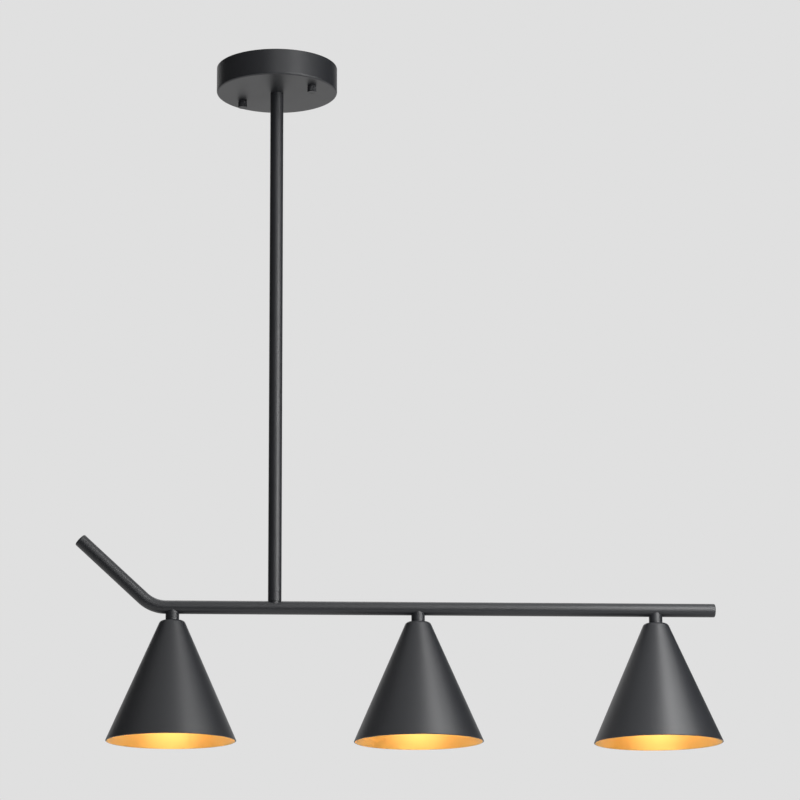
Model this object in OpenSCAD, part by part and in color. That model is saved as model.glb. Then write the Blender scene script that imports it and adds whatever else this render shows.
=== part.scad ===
// Linear ceiling light with three spun cone shades under one bent tube.
// Origin: centre of the canopy on the ceiling. +X runs along the bar, +Z up, millimetres.

/* [Canopy] */
// Outer diameter of the ceiling canopy
canopy_d = 120; // [110:1:160]
// Height of the canopy below the ceiling
canopy_h = 26; // [24:1:45]
// Sheet thickness of the canopy
canopy_wall = 1.2; // [0.8:0.1:2]
// Radius of the canopy's lower outside edge
canopy_edge_r = 2; // [1.5:0.1:5]

/* [Ceiling strap] */
// Distance between the two canopy studs
stud_spacing = 84; // [78:1:90]
// Turn of the strap away from the bar, degrees
strap_angle = -36.5; // [-90:0.5:90]
// Distance between the two ceiling screw holes
screw_spacing = 44; // [40:1:46]
// Diameter of each ceiling screw hole
screw_hole_d = 5; // [4:0.1:6]
// Width of the strap
strap_w = 18; // [16:1:24]
// Thickness of the strap
strap_t = 2; // [1.5:0.1:2.5]
// Step down from the strap's middle to its ends
strap_step = 6; // [5:0.5:7]
// Diameter of the cable hole in the strap's middle
cable_hole_d = 12; // [8:1:14]
// Thread diameter of the canopy studs
stud_d = 4; // [3:0.5:4]
// Length of stud that stands out below the canopy
stud_end = 5; // [4.5:0.1:5.5]
// Thread diameter of the earth screw
earth_screw_d = 3; // [2.5:0.5:4]

/* [Canopy nuts] */
// Outer diameter of each knurled cap nut
cap_nut_d = 8.8; // [8:0.1:14]
// Height of each knurled cap nut
cap_nut_h = 5.9; // [5.8:0.1:10]
// Number of knurls round each cap nut
knurls = 24; // [16:1:40]
// Thickness of the washer above each cap nut
nut_washer_t = 0.6; // [0.4:0.1:1]

/* [Tubes] */
// Outer diameter of the rod, the bar, the foot and the stubs
tube_d = 13; // [12.5:0.1:16]
// Wall of the rod and the bar
tube_wall = 1; // [0.8:0.1:1.2]
// Depth of the bar's centre line below the ceiling
bar_drop = 545; // [200:1:1200]
// Height of the foot that is welded on the bar
foot_h = 8.2; // [7:0.1:16]
// How deep the foot's saddle drops over the bar
foot_saddle = 0.5; // [0.3:0.1:2]
// How far the root of the foot and of each stub, where they meet the bar, stands in from their sides
root_inset = 0.7; // [0.4:0.05:0.9]
// Distance from the rod to the right end of the bar
bar_right = 426; // [400:1:600]
// Distance from the rod to the corner where the left arm turns up
bend_x = 116.6; // [114:0.1:200]
// Angle of the raised left arm, degrees
bend_angle = 42.7; // [20:0.1:70]
// Bend radius on the tube's centre line
bend_r = 33; // [25:1:36]
// How much thinner the tube's wall gets round the bend, on each side
bend_thinning = 0.05; // [0.02:0.01:0.1]
// Length of the raised arm, from the corner to its tip
arm_len = 96; // [60:1:200]
// Thickness of the head of each end plug
plug_head = 2.2; // [1.8:0.1:4]
// Length of the stem of each end plug
plug_stem = 8; // [4:1:15]
// Radius of the rounded edge of each end plug
plug_edge_r = 1.4; // [0.8:0.1:1.6]

/* [Shades] */
// Place of the left shade along the bar
left_x = -97.7; // [-99:0.1:-70]
// Place of the middle shade along the bar
middle_x = 137.8; // [80:0.1:200]
// Place of the right shade along the bar
right_x = 368; // [340:0.5:380]
// Diameter of the shade where its sides would meet its flat top
shade_top_d = 23; // [22.5:0.1:40]
// Diameter of the shade at its rim
shade_rim_d = 124; // [110:1:160]
// Height of the shade
shade_h = 115; // [108:1:160]
// Sheet thickness of the shade
shade_wall = 1.2; // [0.8:0.1:1.5]
// Radius between the flat top and the sloping side
shade_corner_r = 4; // [3:0.1:5]
// Visible length of the stub between the bar and the shade
stub_h = 6.5; // [5:0.1:40]
// How far the stub's saddle reaches up round the bar
stub_saddle = 2.1; // [1:0.1:3]

/* [Hollow nipples] */
// Thread diameter of the hollow nipples
nipple_d = 10; // [9.5:0.1:10.2]
// Bore of the hollow nipples
nipple_bore = 8; // [7.6:0.1:8.2]
// Width across flats of the nipple nuts
nipple_nut_af = 14; // [13:0.5:15]
// Height of the nut inside the canopy
canopy_nut_h = 4; // [3:0.5:4]
// Height of the thin nut inside each shade
shade_nut_h = 3; // [2:0.5:3.5]
// Outer diameter of the nipple washers
washer_d = 16; // [15:0.5:17]
// Thickness of the nipple washers
washer_t = 1; // [0.6:0.1:1.2]

/* [Lampholders] */
// Outer diameter of the lampholder
holder_d = 27; // [24:0.5:28]
// Wall of the lampholder's cap and skirt
holder_wall = 1.5; // [1:0.1:2]
// Diameter of the boss on the lampholder's cap
boss_d = 14; // [13:0.5:15]
// Height of that boss
boss_h = 7; // [6:0.5:12]
// Height of the lampholder's cap below its boss
holder_cap_h = 10; // [9:0.5:12]
// Thickness of the insulating block
insert_t = 6; // [5:0.5:8]
// Length of the lampholder's skirt
skirt_h = 24; // [20:0.5:26]

/* [Bulbs] */
// Outer diameter of the bulb's screw thread
thread_d = 13.9; // [13:0.1:14.2]
// Depth of the bulb's screw thread
thread_depth = 0.5; // [0.3:0.1:0.8]
// Rise of the bulb's screw thread for each turn
thread_pitch = 2.82; // [2.5:0.01:3.2]
// Height of the threaded part of the bulb's cap
thread_h = 17; // [15:0.5:18]
// Height of the glass foot above the thread
bulb_foot_h = 4; // [3:0.5:5]
// Diameter of the bulb's globe
globe_d = 45; // [35:1:50]
// Whole length of the bulb
bulb_len = 75; // [72:1:80]
// Thickness of the glass
glass_t = 0.8; // [0.5:0.1:1.2]

/* [Wiring] */
// Outer diameter of each insulated lead
lead_d = 1.5; // [1.2:0.1:1.6]
// Spacing of the leads that run side by side
lead_pitch = 1.7; // [1.65:0.01:1.8]
// Bend radius of the leads
lead_bend_r = 4; // [3:0.5:4.5]
// Length of the terminal block
block_l = 24; // [20:1:26]
// Width of the terminal block
block_w = 15; // [12:1:16]
// Height of the terminal block
block_h = 8; // [7:0.5:8.5]

/* [Fits] */
// Radial clearance between a thread or plug and its hole
fit_gap = 0.05; // [0.02:0.01:0.08]
// Radial clearance of the canopy's stud holes
stud_hole_gap = 0.3; // [0.2:0.05:0.5]
// Clearance between pieces that are loose in each other
loose_gap = 0.3; // [0.2:0.05:0.5]

/* [Hidden] */
$fn = 96;
tube_r = tube_d / 2;
tube_bore_r = tube_r - tube_wall;
nipple_r = nipple_d / 2;
nipple_hole_r = nipple_r + fit_gap;
wire_hole_r = nipple_bore / 2 + 0.5;
bar_z = -bar_drop;
foot_top = bar_z + tube_r + foot_h;
foot_bottom = bar_z + tube_r - foot_saddle;
bend_side = bend_r * tan(bend_angle / 2);
lamp_x = [left_x, middle_x, right_x];

// Levels inside the canopy, from its sheet upwards
canopy_floor = -canopy_h + canopy_wall;
ring_base = canopy_floor + washer_t;
earth_ring_t = 0.8;
canopy_nut_base = ring_base + earth_ring_t;
nipple_top = canopy_nut_base + canopy_nut_h + 3;
block_gap = 1;
block_base = nipple_top + block_gap;

// Levels under the shade's top, from the sheet downwards
shade_z = bar_z - tube_r - stub_h;
shade_washer_z = -shade_wall;
shade_nut_z = shade_washer_z - washer_t;
boss_top = shade_nut_z - shade_nut_h;
holder_top = boss_top - boss_h;
skirt_top = holder_top - holder_cap_h;
insert_base = skirt_top - insert_t / 2;
contact_t = 0.6;
bulb_top = insert_base - contact_t;
thread_top = bulb_top - bulb_foot_h;
thread_base = thread_top - thread_h;
globe_r = globe_d / 2;
globe_z = bulb_top - bulb_len + globe_r;
holder_r = holder_d / 2;
thread_r = thread_d / 2;
shell_r = thread_r + fit_gap + 0.05;
shell_t = 0.45;

// Slope of the shade's side, measured from the axis
shade_lean = atan((shade_rim_d - shade_top_d) / 2 / shade_h);
bushing_h = 10;

// A screw's pan head for a shank of the given diameter
function head_r(d) = d * 0.88;
function head_h(d) = d * 0.6;

powder_black = [0.16, 0.16, 0.17];
zinc = [0.72, 0.72, 0.7];
brass = [0.8, 0.65, 0.35];
plastic_black = [0.08, 0.08, 0.08];
porcelain = [0.92, 0.91, 0.87];
opal = [0.97, 0.95, 0.88, 0.9];
brown = [0.4, 0.2, 0.1];
blue = [0.1, 0.25, 0.65];

// Points along an arc, ends included
function arc(centre, r, from, to, steps = 10) =
    [for (i = [0 : steps]) centre + r * [cos(from + (to - from) * i / steps), sin(from + (to - from) * i / steps)]];

module ring(outer_r, inner_r, base, height) {
    translate([0, 0, base])
    difference() {
        cylinder(r = outer_r, h = height);
        translate([0, 0, -1]) cylinder(r = inner_r, h = height + 2);
    }
}

module hex_nut(across, inner_r, base, height) {
    translate([0, 0, base])
    difference() {
        cylinder(r = across / 2 / cos(30), h = height, $fn = 6);
        translate([0, 0, -1]) cylinder(r = inner_r, h = height + 2);
    }
}

module at_lamp(i) {
    translate([lamp_x[i], 0, shade_z]) children();
}

module at_each_lamp() {
    for (i = [0 : 2]) at_lamp(i) children();
}

// side is -1 for the stud on the left of the rod, 1 for the one on the right
module at_stud(side) {
    rotate([0, 0, strap_angle]) translate([side * stud_spacing / 2, 0, 0]) children();
}

module at_each_stud() {
    for (side = [-1, 1]) at_stud(side) children();
}

// Spun pan, open towards the ceiling
module canopy() {
    r = canopy_d / 2;
    edge = canopy_edge_r;
    inner_edge = edge - canopy_wall;
    color(powder_black)
    difference() {
        rotate_extrude()
        polygon(concat(
            [[0, 0], [0, -canopy_h]],
            arc([r - edge, edge - canopy_h], edge, -90, 0),
            [[r, 0]]));
        rotate_extrude()
        polygon(concat(
            [[0, 1], [0, canopy_floor]],
            arc([r - edge, edge - canopy_h], inner_edge, -90, 0),
            [[r - canopy_wall, 1]]));
        translate([0, 0, -canopy_h - 1]) cylinder(r = nipple_hole_r, h = canopy_wall + 2);
        at_each_stud() translate([0, 0, -canopy_h - 1])
            cylinder(d = stud_d + 2 * stud_hole_gap, h = canopy_wall + 2);
    }
}

// Pressed steel strap: its middle lies on the ceiling, its ends step down for the stud heads
module ceiling_strap() {
    half = stud_spacing / 2 + 8;
    bend_in = screw_spacing / 2 + 5;
    bend_out = bend_in + strap_step;
    step = strap_step;
    t = strap_t;
    color(zinc)
    rotate([0, 0, strap_angle])
    difference() {
        rotate([90, 0, 0])
        translate([0, 0, -strap_w / 2])
        linear_extrude(strap_w)
        polygon([[-half, -step], [-bend_out, -step], [-bend_in, 0], [bend_in, 0], [bend_out, -step], [half, -step],
            [half, -step - t], [bend_out - t / 2, -step - t], [bend_in - t / 2, -t], [t / 2 - bend_in, -t],
            [t / 2 - bend_out, -step - t], [-half, -step - t]]);
        translate([0, 0, -t - 1]) cylinder(d = cable_hole_d, h = t + 2);
        for (side = [-1, 1]) {
            translate([side * screw_spacing / 2, 0, -t - 1]) cylinder(d = screw_hole_d, h = t + 2);
            translate([side * stud_spacing / 2, 0, -step - t - 1]) cylinder(r = stud_d / 2 + fit_gap, h = t + 2);
        }
        translate([earth_screw_x(), 0, -t - 1]) cylinder(r = earth_screw_d / 2 + fit_gap, h = t + 2);
    }
}

function earth_screw_x() = (cable_hole_d / 2 + screw_spacing / 2 - screw_hole_d / 2) / 2;

// Two pan-head screws that hang down through the strap's ends
module strap_studs() {
    seat = -strap_step;
    tip = -canopy_h - stud_end;
    color(zinc)
    at_each_stud() {
        translate([0, 0, tip]) cylinder(d = stud_d, h = seat - tip);
        translate([0, 0, seat]) cylinder(r = head_r(stud_d), h = head_h(stud_d));
    }
}

module stud_lock_nuts() {
    nut_h = stud_d * 0.8;
    color(zinc)
    at_each_stud() hex_nut(stud_d * 1.75, stud_d / 2 + fit_gap, -strap_step - strap_t - nut_h, nut_h);
}

module earth_screw() {
    color(brass)
    rotate([0, 0, strap_angle])
    translate([earth_screw_x(), 0, 0]) {
        translate([0, 0, -strap_t]) cylinder(d = earth_screw_d, h = strap_t - loose_gap);
        translate([0, 0, -strap_t - head_h(earth_screw_d)])
            cylinder(r = head_r(earth_screw_d), h = head_h(earth_screw_d));
    }
}

module nut_washer(side) {
    color(powder_black)
    at_stud(side) ring(cap_nut_d / 2 - 0.5, stud_d / 2 + stud_hole_gap, -canopy_h - nut_washer_t, nut_washer_t);
}

// Knurled nut with a closed end
module canopy_nut(side) {
    r = cap_nut_d / 2;
    knurl_depth = 0.2;
    collar_h = 0.8;
    top = -canopy_h - nut_washer_t;
    thread_deep = stud_end - nut_washer_t + 0.4;
    color(powder_black)
    at_stud(side)
    difference() {
        union() {
            translate([0, 0, top - cap_nut_h + collar_h / 2])
            linear_extrude(cap_nut_h - collar_h)
            polygon([for (i = [0 : 2 * knurls - 1])
                let (a = i * 180 / knurls, kr = r - (i % 2) * knurl_depth) kr * [cos(a), sin(a)]]);
            translate([0, 0, top - cap_nut_h]) cylinder(r = r - knurl_depth - 0.1, h = cap_nut_h);
        }
        translate([0, 0, top - thread_deep]) cylinder(r = stud_d / 2 + fit_gap, h = thread_deep + 1);
    }
}

// Hollow threaded tube that carries the rod from the canopy
module canopy_nipple() {
    base = -canopy_h - bushing_h;
    color(zinc) ring(nipple_r, nipple_bore / 2, base, nipple_top - base);
}

module canopy_washer() {
    color(zinc) ring(washer_d / 2, nipple_hole_r, canopy_floor, washer_t);
}

// Earth terminal under the nipple nut, with its lead bent up to the terminal block
module earth_ring() {
    tag_x = -block_l / 2 + 3;
    lead_r = lead_d / 2;
    color(brass) {
        ring(nipple_r + 2.4, nipple_hole_r, ring_base, earth_ring_t);
        difference() {
            translate([tag_x - lead_d, -lead_d, ring_base]) cube([-tag_x - nipple_r, 2 * lead_d, earth_ring_t]);
            translate([0, 0, ring_base - 1]) cylinder(r = nipple_hole_r, h = earth_ring_t + 2);
        }
        translate([tag_x, 0, ring_base + earth_ring_t]) cylinder(r = lead_r, h = block_base + 3 - ring_base - earth_ring_t);
    }
}

module canopy_hex_nut() {
    color(zinc) hex_nut(nipple_nut_af, nipple_hole_r, canopy_nut_base, canopy_nut_h);
}

// Places of the leads in the rod: left lamp, middle lamp and right lamp
function lead_x(i) = (i == 0 ? -1 : 1) * (lead_pitch / 2 + 0.05);
function lead_y(i) = i == 2 ? lead_pitch * 1.5 : lead_pitch / 2;

// Moulded block that joins the leads of the three lamps to the supply
module terminal_block() {
    hole_r = lead_d / 2 + fit_gap;
    deep = 3;
    color(porcelain)
    difference() {
        translate([-block_l / 2, -block_w / 2, block_base]) cube([block_l, block_w, block_h]);
        for (i = [0 : 2], side = [-1, 1])
            translate([lead_x(i), side * lead_y(i), block_base - 1]) cylinder(r = hole_r, h = deep + 1);
        translate([3 - block_l / 2, 0, block_base - 1]) cylinder(r = hole_r, h = deep + 1.01);
        for (x = [-1 : 1], side = [-1, 1])
            translate([x * block_l / 3, side * block_w / 4, block_base + block_h - 2.5]) cylinder(r = 1.6, h = 3);
    }
}

module terminal_screws() {
    color(zinc)
    for (x = [-1 : 1], side = [-1, 1])
        translate([x * block_l / 3, side * block_w / 4, block_base + block_h - 2.5])
        difference() {
            cylinder(r = 1.6 - fit_gap, h = 1.5);
            translate([-2, -0.25, 1]) cube([4, 0.5, 1]);
        }
}

module rod() {
    color(powder_black) ring(tube_r, tube_bore_r, foot_top, -canopy_h - foot_top);
}

// Threaded rings fixed in both ends of the rod
module rod_bushings() {
    color(zinc)
    for (base = [-canopy_h - bushing_h, foot_top])
        ring(tube_bore_r - fit_gap, nipple_hole_r, base, bushing_h);
}

module foot_nipple() {
    base = foot_bottom + 1;
    color(zinc) ring(nipple_r, nipple_bore / 2, base, foot_top + bushing_h - 1 - base);
}

// Short threaded sleeve, welded on the bar and rising from z = 0 on the bar's centre line.
// Its full width starts a saddle's depth below the bar's top, and a narrower root meets the bar all round.
module saddled_sleeve(height, saddle) {
    difference() {
        union() {
            cylinder(r = tube_r - root_inset, h = tube_r);
            translate([0, 0, tube_r - saddle]) cylinder(r = tube_r, h = height + saddle);
        }
        translate([0, 0, -1]) cylinder(r = nipple_hole_r, h = tube_r + height + 2);
        translate([-tube_d, 0, 0]) rotate([0, 90, 0]) cylinder(r = tube_r, h = 2 * tube_d);
    }
}

// Foot that stands on the bar and takes the rod
module bar_foot() {
    color(powder_black)
    translate([0, 0, bar_z]) saddled_sleeve(foot_h, foot_saddle);
}

// The bar's run: straight, round the bend, and up the left arm, as far as the plugs' heads.
// The bent tube is a little slimmer than the straight one and runs a little way into both stretches.
module bar_run() {
    more = 0.1;
    translate([bend_side - bend_x, 0, bar_z])
        rotate([0, 90, 0]) ring(tube_r, tube_bore_r, 0, bar_right - plug_head + bend_x - bend_side);
    translate([bend_side - bend_x, 0, bar_z + bend_r])
        rotate([90, 0, 0]) rotate([0, 0, -90 - bend_angle - more])
        rotate_extrude(angle = bend_angle + 2 * more)
        translate([bend_r, 0])
        difference() {
            circle(r = tube_r - bend_thinning);
            circle(r = tube_bore_r + bend_thinning);
        }
    translate([-bend_x, 0, bar_z])
        rotate([0, bend_angle - 90, 0])
        ring(tube_r, tube_bore_r, bend_side, arm_len - plug_head - bend_side);
}

module bar() {
    color(powder_black)
    difference() {
        bar_run();
        translate([0, 0, bar_z]) cylinder(r = wire_hole_r, h = tube_d);
        for (x = lamp_x) translate([x, 0, bar_z - tube_d]) cylinder(r = wire_hole_r, h = tube_d);
    }
}

// Push-in plug. Its head starts at z = 0 and is rounded at its outer end.
module end_plug() {
    color(powder_black) {
        rotate_extrude()
        polygon(concat(
            [[0, 0], [tube_r, 0]],
            arc([tube_r - plug_edge_r, plug_head - plug_edge_r], plug_edge_r, 0, 90),
            [[0, plug_head]]));
        translate([0, 0, -plug_stem]) cylinder(r = tube_bore_r - fit_gap, h = plug_stem);
    }
}

module left_end_plug() {
    translate([-bend_x, 0, bar_z]) rotate([0, bend_angle - 90, 0])
        translate([0, 0, arm_len - plug_head]) end_plug();
}

module right_end_plug() {
    translate([bar_right - plug_head, 0, bar_z]) rotate([0, 90, 0]) end_plug();
}

// Stub that hangs under the bar and carries a shade
module stub(i) {
    color(powder_black)
    at_lamp(i)
    translate([0, 0, bar_z - shade_z]) rotate([180, 0, 0]) saddled_sleeve(stub_h, stub_saddle);
}

// Half outline of the shade, moved inwards by inset
function shade_outline(inset, rim_z) =
    let (
        corner_x = shade_top_d / 2 - shade_corner_r * (1 - sin(shade_lean)) / cos(shade_lean),
        rim_r = shade_top_d / 2 - rim_z * tan(shade_lean) - inset / cos(shade_lean)
    )
    concat([[0, rim_z], [0, -inset]],
        arc([corner_x, -shade_corner_r], shade_corner_r - inset, 90, shade_lean),
        [[rim_r, rim_z]]);

// Spun cone, black outside and gold inside
module shade(i) {
    color(powder_black)
    at_lamp(i)
    difference() {
        rotate_extrude() polygon(shade_outline(0, -shade_h));
        rotate_extrude() polygon(shade_outline(shade_wall, -shade_h - 1));
        translate([0, 0, -shade_wall - 1]) cylinder(r = nipple_hole_r, h = shade_wall + 2);
    }
}

// Hollow threaded tubes from each stub, through the shade, into the lampholder's boss
module shade_nipples() {
    color(zinc)
    at_each_lamp() ring(nipple_r, nipple_bore / 2, boss_top - boss_h + 1, stub_h - 1 - boss_top + boss_h - 1);
}

module shade_washers() {
    color(zinc)
    at_each_lamp() ring(washer_d / 2, nipple_hole_r, shade_washer_z - washer_t, washer_t);
}

module shade_hex_nuts() {
    color(zinc)
    at_each_lamp() hex_nut(nipple_nut_af, nipple_hole_r, shade_nut_z - shade_nut_h, shade_nut_h);
}

// One insulated lead, from the terminal block down the rod, along the bar and into a lampholder
module lead(i, side) {
    r = lead_d / 2;
    way = i == 0 ? -1 : 1;
    x0 = lead_x(i);
    x1 = lamp_x[i];
    b = lead_bend_r;
    top = block_base + 3;
    tip = shade_z + insert_base + insert_t - 2;
    translate([0, side * lead_y(i), 0]) {
        translate([x0, 0, bar_z + b]) cylinder(r = r, h = top - bar_z - b);
        translate([x0 + way * b, 0, bar_z + b])
            rotate([90, 0, 0]) rotate([0, 0, way > 0 ? 180 : 270])
            rotate_extrude(angle = 90) translate([b, 0]) circle(r = r);
        translate([min(x0 + way * b, x1 - way * b), 0, bar_z])
            rotate([0, 90, 0]) cylinder(r = r, h = abs(x1 - x0) - 2 * b);
        translate([x1 - way * b, 0, bar_z - b])
            rotate([90, 0, 0]) rotate([0, 0, way > 0 ? 0 : 90])
            rotate_extrude(angle = 90) translate([b, 0]) circle(r = r);
        translate([x1, 0, tip]) cylinder(r = r, h = bar_z - b - tip);
    }
}

module live_leads() {
    color(brown) for (i = [0 : 2]) lead(i, 1);
}

module neutral_leads() {
    color(blue) for (i = [0 : 2]) lead(i, -1);
}

// Moulded cap that screws on the nipple
module holder_cap(i) {
    color(plastic_black)
    at_lamp(i)
    difference() {
        union() {
            translate([0, 0, holder_top]) cylinder(d = boss_d, h = boss_h);
            translate([0, 0, skirt_top]) cylinder(r = holder_r, h = holder_cap_h);
        }
        translate([0, 0, holder_top - 5]) cylinder(r = nipple_hole_r, h = boss_h + 6);
        translate([0, 0, skirt_top - 1]) cylinder(r = holder_r - holder_wall, h = holder_cap_h - holder_wall + 1);
    }
}

// Lower half of the lampholder, with a guide tube round the screw shell
module holder_skirt(i) {
    guide_r = shell_r + shell_t + fit_gap;
    base = skirt_top - skirt_h;
    flange_t = 2;
    color(plastic_black)
    at_lamp(i) {
        ring(holder_r, holder_r - holder_wall, base, skirt_h);
        ring(holder_r - holder_wall, guide_r, base, flange_t);
        ring(guide_r + 1.2, guide_r, base + flange_t, insert_base - base - flange_t);
    }
}

module holder_inserts() {
    hole_r = lead_d / 2 + fit_gap;
    color(porcelain)
    at_each_lamp()
    difference() {
        translate([0, 0, insert_base]) cylinder(r = holder_r - holder_wall - fit_gap, h = insert_t);
        for (i = [0 : 2], side = [-1, 1])
            translate([0, side * lead_y(i), insert_base + insert_t - 2]) cylinder(r = hole_r, h = 3);
    }
}

// Threaded metal sleeve, closed by nothing but the bulb
module holder_shells() {
    base = skirt_top - skirt_h + 1;
    color(brass)
    at_each_lamp() ring(shell_r + shell_t, shell_r, base, insert_base - base);
}

module holder_contacts() {
    color(brass)
    at_each_lamp() translate([0, 0, bulb_top]) cylinder(r = 2.5, h = contact_t);
}

// Opal globe with a neck that narrows to the metal cap
module bulb_glass(i) {
    neck_r = thread_r + 2;
    swell_r = globe_r * 0.8;
    swell_z = globe_z + globe_r * 0.6;
    color(opal)
    at_lamp(i)
    difference() {
        bulb_form(0, neck_r, swell_r, swell_z);
        bulb_form(glass_t, neck_r - glass_t, swell_r - glass_t, swell_z);
    }
}

module bulb_form(inset, neck_r, swell_r, swell_z) {
    translate([0, 0, globe_z]) sphere(r = globe_r - inset);
    translate([0, 0, swell_z]) cylinder(r1 = swell_r, r2 = neck_r, h = thread_base - swell_z - inset);
}

// Rolled metal cap with a screw thread, drawn as rings of the thread's pitch
module bulb_cap(i) {
    turns = floor(thread_h / thread_pitch);
    root_r = thread_r - thread_depth;
    color(zinc)
    at_lamp(i)
    difference() {
        rotate_extrude()
        polygon(concat(
            [[0, thread_base], [root_r, thread_base]],
            [for (n = [0 : turns - 1], top = [0, 1])
                [top == 0 ? root_r : thread_r, thread_base + (n + 0.25 + top / 2) * thread_pitch]],
            [[root_r, thread_base + turns * thread_pitch], [root_r, thread_top], [0, thread_top]]));
        translate([0, 0, thread_base - 1]) cylinder(r = root_r - 0.4, h = thread_h + 0.6);
        translate([0, 0, thread_base - 1]) cylinder(r = 4, h = thread_h + 2);
    }
}

// Black glass foot with the end contact on top
module bulb_foot(i) {
    color(plastic_black)
    at_lamp(i) {
        translate([0, 0, thread_top]) cylinder(r1 = thread_r - thread_depth - 0.2, r2 = 3, h = bulb_foot_h - 1);
        translate([0, 0, bulb_top - 1]) cylinder(r = 2.4, h = 1);
    }
}

canopy();
ceiling_strap();
strap_studs();
stud_lock_nuts();
earth_screw();
nut_washer(-1);  // left_nut_washer
nut_washer(1);  // right_nut_washer
canopy_nut(-1);  // left_canopy_nut
canopy_nut(1);  // right_canopy_nut
canopy_nipple();
canopy_washer();
earth_ring();
canopy_hex_nut();
terminal_block();
terminal_screws();
rod();
rod_bushings();
foot_nipple();
bar_foot();
bar();
left_end_plug();
right_end_plug();
stub(0);  // left_stub
stub(1);  // middle_stub
stub(2);  // right_stub
shade(0);  // left_shade
shade(1);  // middle_shade
shade(2);  // right_shade
shade_nipples();
shade_washers();
shade_hex_nuts();
live_leads();
neutral_leads();
holder_cap(0);  // left_holder_cap
holder_cap(1);  // middle_holder_cap
holder_cap(2);  // right_holder_cap
holder_skirt(0);  // left_holder_skirt
holder_skirt(1);  // middle_holder_skirt
holder_skirt(2);  // right_holder_skirt
holder_inserts();
holder_shells();
holder_contacts();
bulb_glass(0);  // left_bulb_glass
bulb_glass(1);  // middle_bulb_glass
bulb_glass(2);  // right_bulb_glass
bulb_cap(0);  // left_bulb_cap
bulb_cap(1);  // middle_bulb_cap
bulb_cap(2);  // right_bulb_cap
bulb_foot(0);  // left_bulb_foot
bulb_foot(1);  // middle_bulb_foot
bulb_foot(2);  // right_bulb_foot
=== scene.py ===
"""Looks of a linear ceiling light: black canopy, rod and bent bar, with three cone shades, gold inside."""
import math

import bmesh
import bpy
from mathutils import Matrix, Vector


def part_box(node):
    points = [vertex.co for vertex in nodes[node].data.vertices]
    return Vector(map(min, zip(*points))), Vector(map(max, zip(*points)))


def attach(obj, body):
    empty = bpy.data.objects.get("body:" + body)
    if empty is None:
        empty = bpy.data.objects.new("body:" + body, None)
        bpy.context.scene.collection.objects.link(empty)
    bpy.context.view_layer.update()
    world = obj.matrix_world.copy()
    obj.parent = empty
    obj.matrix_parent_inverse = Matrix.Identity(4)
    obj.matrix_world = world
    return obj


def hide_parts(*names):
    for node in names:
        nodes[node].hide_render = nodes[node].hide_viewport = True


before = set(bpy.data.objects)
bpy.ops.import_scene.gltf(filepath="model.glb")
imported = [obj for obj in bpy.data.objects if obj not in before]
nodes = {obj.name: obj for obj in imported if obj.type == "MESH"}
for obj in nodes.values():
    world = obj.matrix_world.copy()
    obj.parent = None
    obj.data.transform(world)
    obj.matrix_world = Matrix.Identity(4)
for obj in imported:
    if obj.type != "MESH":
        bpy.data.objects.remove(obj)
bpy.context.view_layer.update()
mm = 0.001


# Steel fixings
# The strap on the ceiling, its studs and lock nuts, and the hollow nipples with their nuts, washers and
# bushes. Pressed and turned steel, bright zinc plated, so each has a faint cloudy spangle.


class Wire:
    """A value that runs through a finish's nodes. Arithmetic on it adds Math nodes."""

    def __init__(self, finish, socket):
        self.finish = finish
        self.socket = socket

    def math(self, operation, *values):
        return self.finish.node("ShaderNodeMath", {"operation": operation}, dict(enumerate(values)))

    def __add__(self, other):
        return self.math("ADD", self, other)

    def __mul__(self, other):
        return self.math("MULTIPLY", self, other)

    __radd__ = __add__
    __rmul__ = __mul__


class Finish:
    """One surface finish of the light: even values on its shader, and nodes for what varies."""

    def __init__(self, name, even):
        self.material = bpy.data.materials.new(name)
        self.material.use_nodes = True
        self.tree = self.material.node_tree
        self.shader = self.tree.nodes["Principled BSDF"]
        for socket, value in even.items():
            self.shader.inputs[socket].default_value = value
        self.place = self.node("ShaderNodeTexCoord", {}, {}, "Object")

    def node(self, kind, settings, values, output=0):
        made = self.tree.nodes.new(kind)
        for setting, value in settings.items():
            setattr(made, setting, value)
        for socket, value in values.items():
            if isinstance(value, Wire):
                self.tree.links.new(value.socket, made.inputs[socket])
            else:
                made.inputs[socket].default_value = value
        return Wire(self, made.outputs[output])

    def noise(self, scale, detail=2.0, place=None):
        values = {"Vector": place or self.place, "Scale": scale, "Detail": detail}
        return self.node("ShaderNodeTexNoise", {}, values)

    def stretched(self, stretch):
        """The piece's own coordinates, squeezed or stretched along each axis."""
        return self.node("ShaderNodeMapping", {}, {"Vector": self.place, "Scale": stretch})

    def mix(self, share, first, second):
        return self.node("ShaderNodeMix", {"data_type": "RGBA"}, {0: share, 6: first, 7: second}, 2)

    def feed(self, socket, wire):
        self.tree.links.new(wire.socket, self.shader.inputs[socket])

    def relief(self, height, depth):
        self.feed("Normal", self.node("ShaderNodeBump", {}, {"Height": height, "Distance": depth}))


def dress(finish, *names):
    """Gives CAD nodes that stay in view their finish."""
    for name in names:
        for place in nodes[name].material_slots:
            place.material = finish.material


zinc = Finish("zinc_steel", {"Metallic": 1.0})
zinc_spangle = zinc.noise(260, 3)
zinc.feed("Base Color", zinc.mix(zinc_spangle, (0.56, 0.57, 0.58, 1), (0.68, 0.68, 0.66, 1)))
zinc.feed("Roughness", 0.24 + 0.22 * zinc.noise(90, 4))
zinc.relief(zinc.noise(1900, 3), 0.02 * mm)
dress(zinc, "ceiling_strap", "strap_studs", "stud_lock_nuts", "canopy_nipple", "canopy_washer",
      "canopy_hex_nut", "terminal_screws", "rod_bushings", "foot_nipple", "shade_nipples", "shade_washers",
      "shade_hex_nuts")


# Earthing and contacts
# The earth screw and ring, and the threaded shells and centre contacts of the lampholders. Drawn and turned
# brass, left bare, which has toned a little.

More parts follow.
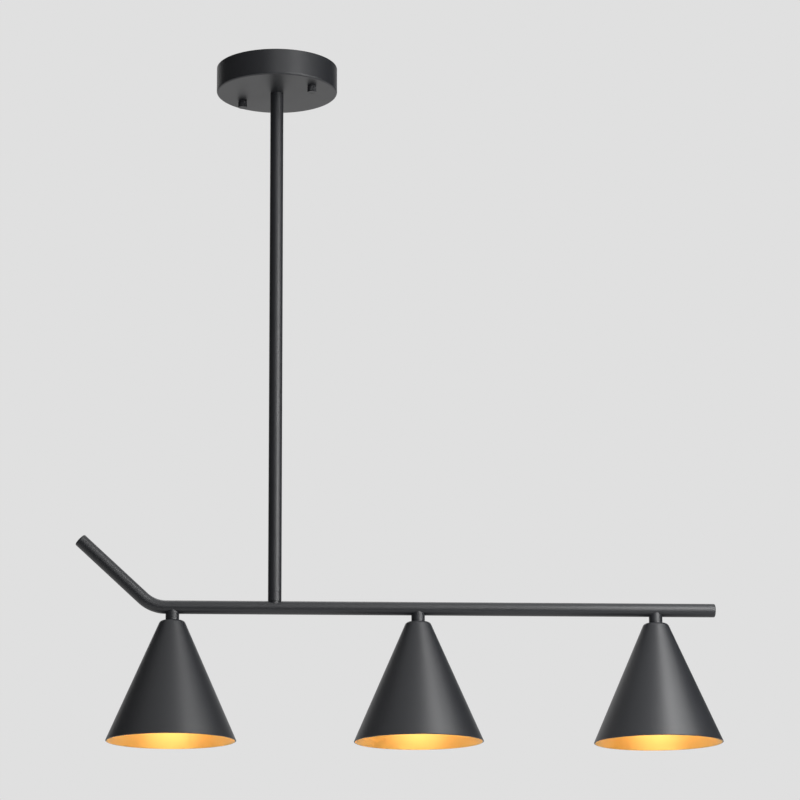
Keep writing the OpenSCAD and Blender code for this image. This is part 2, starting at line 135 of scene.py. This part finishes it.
brass = Finish("brass", {"Metallic": 1.0})
brass.feed("Base Color", brass.mix(brass.noise(140, 4), (0.74, 0.56, 0.26, 1), (0.84, 0.68, 0.36, 1)))
brass.feed("Roughness", 0.22 + 0.25 * brass.noise(300, 3))
brass.relief(brass.noise(2400, 2), 0.015 * mm)
dress(brass, "earth_screw", "earth_ring", "holder_shells", "holder_contacts")


# Terminal block and holder inserts
# Cream moulded insulators: the block takes the three poles' screws, and each insert a lampholder's contact.
# The moulding leaves a fine sand-blasted skin and slightly uneven colour.

insulator = Finish("cream_plastic", {"Specular IOR Level": 0.45})
insulator_cloud = insulator.noise(55, 4)
insulator.feed("Base Color", insulator.mix(insulator_cloud, (0.8, 0.77, 0.69, 1), (0.89, 0.87, 0.81, 1)))
insulator.feed("Roughness", 0.48 + 0.14 * insulator.noise(500, 2))
insulator.relief(insulator.noise(3200, 2), 0.02 * mm)
dress(insulator, "terminal_block", "holder_inserts")


# Leads
# Heat-resistant rubber-skinned leads, brown for live and blue for neutral, dull with a dusting of talc. They
# run from the terminal block down the rod and along the bar to each lampholder.

for lead_node, deep, dusted in (("live_leads", (0.16, 0.065, 0.03, 1), (0.25, 0.12, 0.07, 1)),
                                ("neutral_leads", (0.03, 0.11, 0.42, 1), (0.08, 0.19, 0.52, 1))):
    rubber = Finish(lead_node + "_rubber", {"Specular IOR Level": 0.35})
    rubber.feed("Base Color", rubber.mix(rubber.noise(420, 4), deep, dusted))
    rubber.feed("Roughness", 0.55 + 0.2 * rubber.noise(700, 2))
    rubber.relief(rubber.noise(2600, 2), 0.02 * mm)
    dress(rubber, lead_node)


# Canopy
# A pressed steel pan, open towards the ceiling, with a rounded lower edge and holes for the nipple and the
# two studs. Matt black powder coat, baked on, with the faint orange peel that such a coat has.

powder = Finish("powder_black", {"Specular IOR Level": 0.75})
powder_cloud = powder.noise(14, 3)
powder_speck = powder.noise(1500, 2)
powder_tone = 0.6 * powder_cloud + 0.4 * powder_speck
powder.feed("Base Color", powder.mix(powder_tone, (0.0145, 0.0155, 0.0185, 1), (0.021, 0.0225, 0.0265, 1)))
powder.feed("Roughness", 0.36 + 0.08 * powder_cloud + 0.06 * powder_speck)
powder.relief(0.7 * powder.noise(620, 1) + 0.3 * powder.noise(2300, 2), 0.008 * mm)

touching = 0.001 * mm


def pick(kind, chosen):
    """Selects, in the mesh that is open, the verts, edges or faces that chosen() accepts."""
    bpy.ops.mesh.select_all(action="DESELECT")
    bpy.ops.mesh.select_mode(type=kind)
    mesh = bmesh.from_edit_mesh(bpy.context.object.data)
    for part in {"VERT": mesh.verts, "EDGE": mesh.edges, "FACE": mesh.faces}[kind]:
        part.select_set(chosen(part))
    bmesh.update_edit_mesh(bpy.context.object.data)


def level(edge):
    """Middle height of an edge in its own object."""
    return sum(vert.co.z for vert in edge.verts) / 2


def flat(edge):
    return abs(edge.verts[0].co.z - edge.verts[1].co.z) < touching


def looks(face, way):
    """Whether a face lies level, within 2.5 degrees, and looks up for a way of 1 or down for -1."""
    return face.normal.z * way > 0.999


def modify(piece, kind, **settings):
    """Adds one modifier to a piece and applies it."""
    bpy.ops.object.select_all(action="DESELECT")
    bpy.context.view_layer.objects.active = piece
    piece.select_set(True)
    bpy.ops.object.modifier_add(type=kind)
    modifier = piece.modifiers[-1]
    for setting, value in settings.items():
        setattr(modifier, setting, value)
    bpy.ops.object.modifier_apply(modifier=modifier.name)


def cut(piece, radius, low, high, sides=96):
    """Takes a round bar of space, from point low to point high, out of a piece."""
    run = Vector(high) - Vector(low)
    bpy.ops.object.select_all(action="DESELECT")
    bpy.ops.mesh.primitive_cylinder_add(vertices=sides, radius=radius, depth=run.length,
                                        location=(Vector(low) + Vector(high)) / 2,
                                        rotation=run.to_track_quat("Z", "Y").to_euler())
    drill = bpy.context.object
    modify(piece, "BOOLEAN", operation="DIFFERENCE", object=drill, solver="EXACT")
    bpy.data.objects.remove(drill)


def finish_mesh(piece, name, finish):
    """Puts a piece's place into its mesh, smooths its round faces and gives it its name and finish."""
    smooth_up_to = math.radians(35)
    bpy.ops.object.select_all(action="DESELECT")
    bpy.context.view_layer.objects.active = piece
    piece.select_set(True)
    bpy.ops.object.transform_apply(location=True, rotation=True, scale=True)
    bpy.ops.object.shade_smooth_by_angle(angle=smooth_up_to)
    modify(piece, "WEIGHTED_NORMAL", keep_sharp=True)
    piece.name = name
    if not piece.data.materials:
        piece.data.materials.append(finish.material)


canopy_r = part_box("canopy")[1].x
canopy_h = -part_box("canopy")[0].z
canopy_sheet = 1.2 * mm
canopy_edge_r = 2 * mm
cut_edge_r = 0.3 * mm
cut_edge_angle = math.radians(60)
edge_strip = 0.3 * mm
stud_hole_r = 2.3 * mm
nipple_hole_r = 5.05 * mm
drill_past = 1 * mm
wide_sides = 192
hole_sides = 48

bpy.ops.object.select_all(action="DESELECT")
bpy.ops.mesh.primitive_cylinder_add(vertices=wide_sides, radius=canopy_r, depth=canopy_h,
                                    location=(0, 0, -canopy_h / 2))
canopy_pan = bpy.context.object
bpy.ops.object.mode_set(mode="EDIT")
pick("EDGE", lambda edge: flat(edge) and level(edge) < 0)
bpy.ops.mesh.bevel(offset=canopy_edge_r, segments=8, affect="EDGES")
pick("FACE", lambda face: looks(face, -1) and face.calc_area() > canopy_r ** 2)
bpy.ops.mesh.inset(thickness=edge_strip)
pick("FACE", lambda face: looks(face, 1))
bpy.ops.mesh.delete(type="FACE")
bpy.ops.object.mode_set(mode="OBJECT")
modify(canopy_pan, "SOLIDIFY", thickness=canopy_sheet, offset=-1, use_even_offset=True)
modify(canopy_pan, "BEVEL", width=cut_edge_r, segments=2, limit_method="ANGLE", angle_limit=cut_edge_angle)
drill_low = Vector((0, 0, -canopy_h - drill_past))
drill_high = Vector((0, 0, -canopy_h + canopy_sheet + drill_past))
cut(canopy_pan, nipple_hole_r, drill_low, drill_high)
for side in ("left", "right"):
    nut_low, nut_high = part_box(side + "_canopy_nut")
    stud = Vector((nut_low.x + nut_high.x, nut_low.y + nut_high.y, 0)) / 2
    cut(canopy_pan, stud_hole_r, stud + drill_low, stud + drill_high, hole_sides)
finish_mesh(canopy_pan, "canopy_pan", powder)
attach(canopy_pan, "ceiling_side")
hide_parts("canopy")


# Canopy nuts and their washers
# Two closed knurled nuts run on the studs and hold the canopy up. Turned steel, painted like the canopy.
# Each bears on a thin washer, which keeps the nut off the paint.

knurls = 24
knurl_sides = 4
knurl_depth = 0.2 * mm
knurl_skin = 0.05 * mm
nut_edge = 0.5 * mm
nut_recess = 0.25 * mm
nut_low, nut_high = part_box("left_canopy_nut")
nut_r = (nut_high.x - nut_low.x) / 2
knurl_scale = 1 - knurl_depth / nut_r


def knurl_low(vert):
    """Whether a corner of the nut's section lies in the groove between two knurls."""
    step = round(math.atan2(vert.co.y, vert.co.x) / math.tau * knurl_sides * knurls)
    return math.hypot(vert.co.x, vert.co.y) > nut_r - knurl_skin and step % knurl_sides < knurl_sides / 2


def copy(piece, shift, lean=0):
    """A copy of a piece with a mesh of its own, moved by shift and turned about the frame's Y axis."""
    twin = piece.copy()
    twin.data = piece.data.copy()
    twin.location = piece.location + Vector(shift)
    twin.rotation_euler = (0, lean, 0)
    bpy.context.collection.objects.link(twin)
    return twin


bpy.ops.object.select_all(action="DESELECT")
bpy.ops.mesh.primitive_cylinder_add(vertices=knurl_sides * knurls, radius=nut_r, depth=nut_high.z - nut_low.z)
first_nut = bpy.context.object
bpy.ops.object.mode_set(mode="EDIT")
pick("EDGE", flat)
bpy.ops.mesh.bevel(offset=nut_edge, segments=4, affect="EDGES")
pick("VERT", knurl_low)
bpy.ops.transform.resize(value=(knurl_scale, knurl_scale, 1), center_override=(0, 0, 0))
pick("FACE", lambda face: looks(face, -1))
bpy.ops.mesh.inset(thickness=nut_edge)
bpy.ops.mesh.inset(thickness=nut_edge, depth=-nut_recess)
bpy.ops.object.mode_set(mode="OBJECT")
for side in ("left", "right"):
    nut_low, nut_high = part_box(side + "_canopy_nut")
    nut = copy(first_nut, (nut_low + nut_high) / 2)
    finish_mesh(nut, side + "_knurled_nut", powder)
    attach(nut, side + "_nut_body")
    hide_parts(side + "_canopy_nut")
    dress(powder, side + "_nut_washer")
bpy.data.objects.remove(first_nut)


# Rod
# One straight steel tube from the canopy down to the foot on the bar, with a threaded bush fixed in each end.
# Its ends are deburred, and it has the same powder coat.

tube_wall = 1 * mm
tube_sides = 96
rod_low, rod_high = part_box("rod")
tube_r = rod_high.x
deburr = 0.2 * mm

bpy.ops.object.select_all(action="DESELECT")
bpy.ops.mesh.primitive_cylinder_add(vertices=tube_sides, radius=tube_r, depth=rod_high.z - rod_low.z,
                                    end_fill_type="NOTHING", location=(0, 0, (rod_low.z + rod_high.z) / 2))
rod_tube = bpy.context.object
modify(rod_tube, "SOLIDIFY", thickness=tube_wall, offset=-1, use_even_offset=True)
modify(rod_tube, "BEVEL", width=deburr, segments=2, limit_method="ANGLE", angle_limit=cut_edge_angle)
finish_mesh(rod_tube, "rod_tube", powder)
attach(rod_tube, "pendant")
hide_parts("rod")


# Foot and stubs
# Short thick sleeves, saddled to the bar's own radius and brazed on it: the foot above, for the rod, and a
# stub below at each lamp, for the shade's nipple.

lamps = ("left", "middle", "right")
bar_low, bar_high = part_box("bar")
bar_z = bar_low.z + tube_r
sleeve_edge = 0.25 * mm
root_inset = 0.7 * mm
foot_saddle = 0.5 * mm
stub_saddle = 2.1 * mm


def middle_x(node):
    low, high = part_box(node)
    return (low.x + high.x) / 2


def sleeve(node, saddle):
    """A sleeve on the rod's axis: a rounded end, a bore for its nipple and a narrower root on the bar."""
    low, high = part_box(node)
    up = 1 if high.z > bar_z + tube_r else -1
    end = high.z if up > 0 else low.z
    shoulder = bar_z + up * (tube_r - saddle)
    bpy.ops.object.select_all(action="DESELECT")
    bpy.ops.mesh.primitive_cylinder_add(vertices=tube_sides, radius=tube_r, depth=abs(end - shoulder),
                                        location=(0, 0, (end + shoulder) / 2))
    piece = bpy.context.object
    bpy.ops.object.mode_set(mode="EDIT")
    pick("EDGE", lambda edge: flat(edge) and level(edge) * up > 0)
    bpy.ops.mesh.bevel(offset=sleeve_edge, segments=3, affect="EDGES")
    pick("FACE", lambda face: looks(face, -up))
    bpy.ops.mesh.inset(thickness=root_inset)
    bpy.ops.mesh.extrude_region_move(TRANSFORM_OT_translate={"value": (0, 0, bar_z - shoulder)})
    bpy.ops.object.mode_set(mode="OBJECT")
    cut(piece, nipple_hole_r, (0, 0, bar_z - up * drill_past), (0, 0, end + up * drill_past))
    cut(piece, tube_r, (-2 * tube_r, 0, bar_z), (2 * tube_r, 0, bar_z), 2 * tube_sides)
    return piece


foot = sleeve("bar_foot", foot_saddle)
first_stub = sleeve("left_stub", stub_saddle)
sleeves = [(foot, "foot_sleeve", "bar_foot")]
for side in lamps:
    stub_shift = (middle_x(side + "_stub"), 0, 0)
    sleeves.append((copy(first_stub, stub_shift), side + "_stub_sleeve", side + "_stub"))
bpy.data.objects.remove(first_stub)
for piece, name, node in sleeves:
    finish_mesh(piece, name, powder)
    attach(piece, "pendant")
    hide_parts(node)


# Bar
# One steel tube, straight but for the bend that lifts its left arm. Drawn round a former, so the bend is
# smooth, and drilled for the leads under the foot and over each stub.

bend_angle = math.radians(42.7)
bend_r = 33 * mm
bend_x = 116.6 * mm
arm_len = 96 * mm
wire_hole_r = 4.5 * mm
plug_head = 2.2 * mm
bend_side = bend_r * math.tan(bend_angle / 2)
arm_way = Vector((-math.cos(bend_angle), 0, math.sin(bend_angle)))
corner = Vector((-bend_x, 0, bar_z))
bend_end = Vector((bend_side - bend_x, 0, bar_z))
bend_centre = bend_end + Vector((0, 0, bend_r))
bend_steps = 36
arm_end = corner + arm_way * (arm_len - plug_head)
arm_straight = arm_len - plug_head - bend_side

bpy.ops.object.select_all(action="DESELECT")
bpy.ops.mesh.primitive_circle_add(vertices=tube_sides, radius=tube_r, location=arm_end,
                                  rotation=(0, bend_angle - math.pi / 2, 0))
bar_tube = bpy.context.object
bpy.ops.object.transform_apply(location=True, rotation=True, scale=True)
bpy.ops.object.mode_set(mode="EDIT")
pick("EDGE", lambda edge: True)
bpy.ops.mesh.extrude_region_move(TRANSFORM_OT_translate={"value": -arm_way * arm_straight})
bpy.ops.mesh.spin(steps=bend_steps, angle=bend_angle, center=bend_centre, axis=(0, 1, 0))
pick("EDGE", lambda edge: all(abs(vert.co.x - bend_end.x) < 10 * touching for vert in edge.verts))
bpy.ops.mesh.extrude_region_move(TRANSFORM_OT_translate={"value": (bar_high.x - bend_end.x, 0, 0)})
bpy.ops.mesh.select_all(action="SELECT")
bpy.ops.mesh.remove_doubles(threshold=touching)
bpy.ops.mesh.normals_make_consistent(inside=False)
bpy.ops.object.mode_set(mode="OBJECT")
modify(bar_tube, "SOLIDIFY", thickness=tube_wall, offset=-1, use_even_offset=True)
cut(bar_tube, wire_hole_r, (0, 0, bar_z), (0, 0, bar_z + 2 * tube_r), hole_sides)
for side in lamps:
    lamp_x = middle_x(side + "_stub")
    cut(bar_tube, wire_hole_r, (lamp_x, 0, bar_z - 2 * tube_r), (lamp_x, 0, bar_z), hole_sides)
finish_mesh(bar_tube, "bar_tube", powder)
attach(bar_tube, "pendant")
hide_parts("bar")


# End plugs
# A turned plug with a rounded edge closes each end of the bar. Its stem is a push fit in the tube, and it has
# the same powder coat.

plug_edge_r = 1.4 * mm
plug_stem = 8 * mm
plug_fit = 0.05 * mm
right_end = Vector((bar_high.x, 0, bar_z))

bpy.ops.object.select_all(action="DESELECT")
bpy.ops.mesh.primitive_cylinder_add(vertices=tube_sides, radius=tube_r, depth=plug_head)
first_plug = bpy.context.object
bpy.ops.object.mode_set(mode="EDIT")
pick("EDGE", lambda edge: flat(edge) and level(edge) > 0)
bpy.ops.mesh.bevel(offset=plug_edge_r, segments=8, affect="EDGES")
pick("FACE", lambda face: looks(face, 1))
bpy.ops.mesh.inset(thickness=edge_strip)
pick("FACE", lambda face: looks(face, -1))
bpy.ops.mesh.inset(thickness=tube_wall + plug_fit)
bpy.ops.mesh.extrude_region_shrink_fatten(TRANSFORM_OT_shrink_fatten={"value": plug_stem})
bpy.ops.object.mode_set(mode="OBJECT")
for side, seat, way in (("left", arm_end, arm_way), ("right", right_end, Vector((1, 0, 0)))):
    plug = copy(first_plug, seat + way * plug_head / 2, math.atan2(way.x, way.z))
    finish_mesh(plug, side + "_turned_plug", powder)
    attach(plug, "pendant")
    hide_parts(side + "_end_plug")
bpy.data.objects.remove(first_plug)


# Shades
# Spun steel cones with a small flat top. Powder coated black outside and over the cut rim. Inside they are
# sprayed with gold lacquer, over which the rings of the spinning tool still show faintly.

gold = Finish("gold_lacquer", {"Metallic": 0.85, "Coat Weight": 0.25, "Coat Roughness": 0.16,
                               "Anisotropic": 0.85, "Anisotropic Rotation": 0.25})
spun_rings = gold.noise(900, 2, gold.stretched((0.012, 0.012, 1)))
flakes = gold.noise(2600, 2)
gold_tone = 0.7 * gold.noise(30, 3) + 0.3 * flakes
gold.feed("Base Color", gold.mix(gold_tone, (0.94, 0.56, 0.14, 1), (0.97, 0.65, 0.2, 1)))
gold.feed("Roughness", 0.42 + 0.1 * spun_rings + 0.08 * flakes)
gold.relief(0.8 * spun_rings + 0.2 * flakes, 0.02 * mm)

shade_low, shade_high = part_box("left_shade")
shade_h = shade_high.z - shade_low.z
rim_r = (shade_high.x - shade_low.x) / 2
shade_sheet = 1.2 * mm
shade_top_r = 11.5 * mm
shade_corner_r = 4 * mm
rim_round = 0.35 * mm
rim_angle = math.radians(50)
shade_lean = math.atan((rim_r - shade_top_r) / shade_h)
corner_offset = shade_corner_r * math.tan((math.pi / 2 - shade_lean) / 2)

bpy.ops.object.select_all(action="DESELECT")
bpy.ops.mesh.primitive_cone_add(vertices=wide_sides, radius1=rim_r, radius2=shade_top_r, depth=shade_h)
first_shade = bpy.context.object
bpy.ops.object.mode_set(mode="EDIT")
pick("EDGE", lambda edge: flat(edge) and level(edge) > 0)
bpy.ops.mesh.bevel(offset=corner_offset, segments=10, affect="EDGES")
pick("FACE", lambda face: looks(face, 1) and face.calc_area() > nipple_hole_r ** 2)
bpy.ops.mesh.inset(thickness=edge_strip)
pick("FACE", lambda face: looks(face, -1))
bpy.ops.mesh.delete(type="FACE")
bpy.ops.object.mode_set(mode="OBJECT")
first_shade.data.materials.append(powder.material)
first_shade.data.materials.append(gold.material)
modify(first_shade, "SOLIDIFY", thickness=shade_sheet, offset=-1, use_even_offset=True, material_offset=1)
modify(first_shade, "BEVEL", width=rim_round, segments=3, limit_method="ANGLE", angle_limit=rim_angle)
shade_top = shade_h / 2
cut(first_shade, nipple_hole_r, (0, 0, shade_top - shade_sheet - drill_past), (0, 0, shade_top + drill_past))
for side in lamps:
    shade = copy(first_shade, (middle_x(side + "_shade"), 0, (shade_low.z + shade_high.z) / 2))
    finish_mesh(shade, side + "_cone", powder)
    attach(shade, "pendant")
    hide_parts(side + "_shade")
bpy.data.objects.remove(first_shade)


# Lampholders
# Two phenolic mouldings each, a cap with a boss for the nipple and a skirt that screws up to it. Moulded in
# black, with the faint mottling of the filler.

phenolic = Finish("holder_black", {"Specular IOR Level": 0.5})
mottle = phenolic.noise(220, 4)
phenolic.feed("Base Color", phenolic.mix(mottle, (0.022, 0.021, 0.02, 1), (0.045, 0.043, 0.041, 1)))
phenolic.feed("Roughness", 0.32 + 0.15 * phenolic.noise(800, 2))
phenolic.relief(phenolic.noise(1800, 2), 0.01 * mm)
for side in lamps:
    dress(phenolic, side + "_holder_cap", side + "_holder_skirt")


# Bulbs
# A small-screw bulb in each holder: an opal glass globe on a rolled nickel-plated cap, with a black glass
# foot round the contact. The opal is lit, as when the light is on.

opal = Finish("opal_glass", {"Specular IOR Level": 0.5, "Emission Strength": 10.0})
opal_cloud = opal.noise(60, 3)
opal.feed("Base Color", opal.mix(opal_cloud, (0.86, 0.8, 0.66, 1), (0.93, 0.89, 0.8, 1)))
opal.feed("Emission Color", opal.mix(opal_cloud, (1.0, 0.89, 0.78, 1), (1.0, 0.92, 0.83, 1)))
opal.feed("Roughness", 0.16 + 0.08 * opal.noise(200, 2))
nickel = Finish("nickel_cap", {"Metallic": 1.0})
nickel.feed("Base Color", nickel.mix(nickel.noise(150, 3), (0.62, 0.6, 0.56, 1), (0.74, 0.72, 0.68, 1)))
nickel.feed("Roughness", 0.25 + 0.2 * nickel.noise(420, 3))
jet = Finish("black_glass", {"Specular IOR Level": 0.5})
jet.feed("Base Color", jet.mix(jet.noise(300, 2), (0.012, 0.012, 0.014, 1), (0.03, 0.03, 0.034, 1)))
jet.feed("Roughness", 0.1 + 0.1 * jet.noise(240, 2))
for side in lamps:
    dress(opal, side + "_bulb_glass")
    dress(nickel, side + "_bulb_cap")
    dress(jet, side + "_bulb_foot")


# Studio
# A plain pale floor far below, a pale backdrop all round, and soft lamps. A grey curtain, which only glossy
# surfaces see, keeps the black coat dark. The camera stands a little below the shades.

background = (0.745, 0.745, 0.745, 1)
light_on_things = 0.3
floor_z = -4.4
floor_size = 80


def show(tree, lit, seen, output):
    """Gives a surface one shader for the light that falls on things, and one for what is looked at."""
    path = tree.nodes.new("ShaderNodeLightPath")
    share = path.outputs["Is Camera Ray"]
    for ray in ("Is Glossy Ray", "Is Transmission Ray"):
        either = tree.nodes.new("ShaderNodeMath")
        either.operation = "MAXIMUM"
        tree.links.new(share, either.inputs[0])
        tree.links.new(path.outputs[ray], either.inputs[1])
        share = either.outputs[0]
    mix = tree.nodes.new("ShaderNodeMixShader")
    tree.links.new(share, mix.inputs[0])
    tree.links.new(lit.outputs[0], mix.inputs[1])
    tree.links.new(seen.outputs[0], mix.inputs[2])
    tree.links.new(mix.outputs[0], output.inputs["Surface"])


world = bpy.data.worlds.new("studio")
world.use_nodes = True
bpy.context.scene.world = world
air = world.node_tree.nodes["Background"]
air.inputs["Color"].default_value = (1, 1, 1, 1)
air.inputs["Strength"].default_value = light_on_things
backdrop = world.node_tree.nodes.new("ShaderNodeBackground")
backdrop.inputs["Color"].default_value = background
show(world.node_tree, air, backdrop, world.node_tree.nodes["World Output"])

bpy.ops.object.select_all(action="DESELECT")
bpy.ops.mesh.primitive_plane_add(size=floor_size, location=(0, 0, floor_z))
floor = bpy.context.object
floor.name = "floor"
floor_paint = bpy.data.materials.new("floor_paint")
floor_paint.use_nodes = True
floor_lit = floor_paint.node_tree.nodes["Principled BSDF"]
floor_lit.inputs["Base Color"].default_value = background
floor_lit.inputs["Roughness"].default_value = 0.9
floor_seen = floor_paint.node_tree.nodes.new("ShaderNodeEmission")
floor_seen.inputs["Color"].default_value = background
show(floor_paint.node_tree, floor_lit, floor_seen, floor_paint.node_tree.nodes["Material Output"])
floor.data.materials.append(floor_paint)


def softbox(name, azimuth, elevation, distance, size, power, target):
    """A rectangular lamp that faces a point of the light. Azimuth 0 is in front of it and 90 on its right."""
    a, e = math.radians(azimuth), math.radians(elevation)
    away = Vector((math.sin(a) * math.cos(e), -math.cos(a) * math.cos(e), math.sin(e)))
    lamp = bpy.data.lights.new(name, "AREA")
    lamp.shape = "RECTANGLE"
    lamp.size, lamp.size_y = size
    lamp.energy = power
    holder = bpy.data.objects.new(name, lamp)
    holder.location = Vector(target) + away * distance
    holder.rotation_euler = away.to_track_quat("Z", "Y").to_euler()
    holder.visible_camera = False
    bpy.context.scene.collection.objects.link(holder)


light_middle = (0.15, 0, -0.5)
far, near = 2.2, 0.8
softbox("key_low", 25, 7.5, far, (0.62, 1.16), 9.7, light_middle)
softbox("key_high", 31, 45, far, (0.8, 0.58), 5.4, light_middle)
softbox("soft_left", -5, 20, far, (0.56, 1.4), 3.7, light_middle)
softbox("right_end", 8, 31, near, (0.3, 0.3), 2.3, (0.5, 0, -0.53))
softbox("middle_right", 50, 10, near, (0.35, 0.35), 2.0, (0.136, 0, -0.62))
softbox("near_right", 42, 45, near, (0.6, 0.35), 1.7, (0.42, 0, -0.62))
softbox("back_high", 195, 48, far, (1.6, 0.9), 8.0, light_middle)

curtain_r = 3.6
curtain_sides = 96
curtain_low, curtain_high = -2.8, 3.2
curtain_split = -1.1
gap_over_split = 3.0
gap_under_split = 0.3


def in_gap(face):
    """Whether a piece of the curtain stands behind the light, where the pale backdrop shows through."""
    at = face.calc_center_median()
    return at.y > (gap_over_split if at.z > curtain_split else gap_under_split)


bpy.ops.object.select_all(action="DESELECT")
bpy.ops.mesh.primitive_cylinder_add(vertices=curtain_sides, radius=curtain_r,
                                    depth=curtain_high - curtain_low, end_fill_type="NOTHING",
                                    location=(0, 0, (curtain_low + curtain_high) / 2))
curtain = bpy.context.object
curtain.name = "curtain"
bpy.ops.object.transform_apply(location=True, rotation=True, scale=True)
bpy.ops.object.mode_set(mode="EDIT")
bpy.ops.mesh.select_all(action="SELECT")
bpy.ops.mesh.bisect(plane_co=(0, 0, curtain_split), plane_no=(0, 0, 1))
pick("FACE", in_gap)
bpy.ops.mesh.delete(type="FACE")
bpy.ops.object.mode_set(mode="OBJECT")
curtain_cloth = bpy.data.materials.new("curtain_cloth")
curtain_cloth.use_nodes = True
cloth = curtain_cloth.node_tree.nodes["Principled BSDF"]
cloth.inputs["Base Color"].default_value = (0.12, 0.12, 0.12, 1)
cloth.inputs["Roughness"].default_value = 1.0
curtain.data.materials.append(curtain_cloth)
curtain.visible_camera = False
curtain.visible_diffuse = False
curtain.visible_shadow = False
curtain.visible_transmission = False

photo_focal = 3040.3
photo_width = 800
camera_place = (-0.084, -2.8814, -1.031)
camera_pan, camera_rise, camera_roll = -0.0712, 0.2352, -0.0053
camera_data = bpy.data.cameras.new("camera")
camera_data.sensor_width = 36
camera_data.lens = camera_data.sensor_width * photo_focal / photo_width
camera = bpy.data.objects.new("camera", camera_data)
camera.matrix_world = (Matrix.Translation(camera_place)
                       @ Matrix.Rotation(camera_pan, 4, "Z")
                       @ Matrix.Rotation(math.pi / 2 + camera_rise, 4, "X")
                       @ Matrix.Rotation(camera_roll, 4, "Z"))
bpy.context.scene.collection.objects.link(camera)
bpy.context.scene.camera = camera
bpy.context.scene.view_settings.view_transform = "Standard"
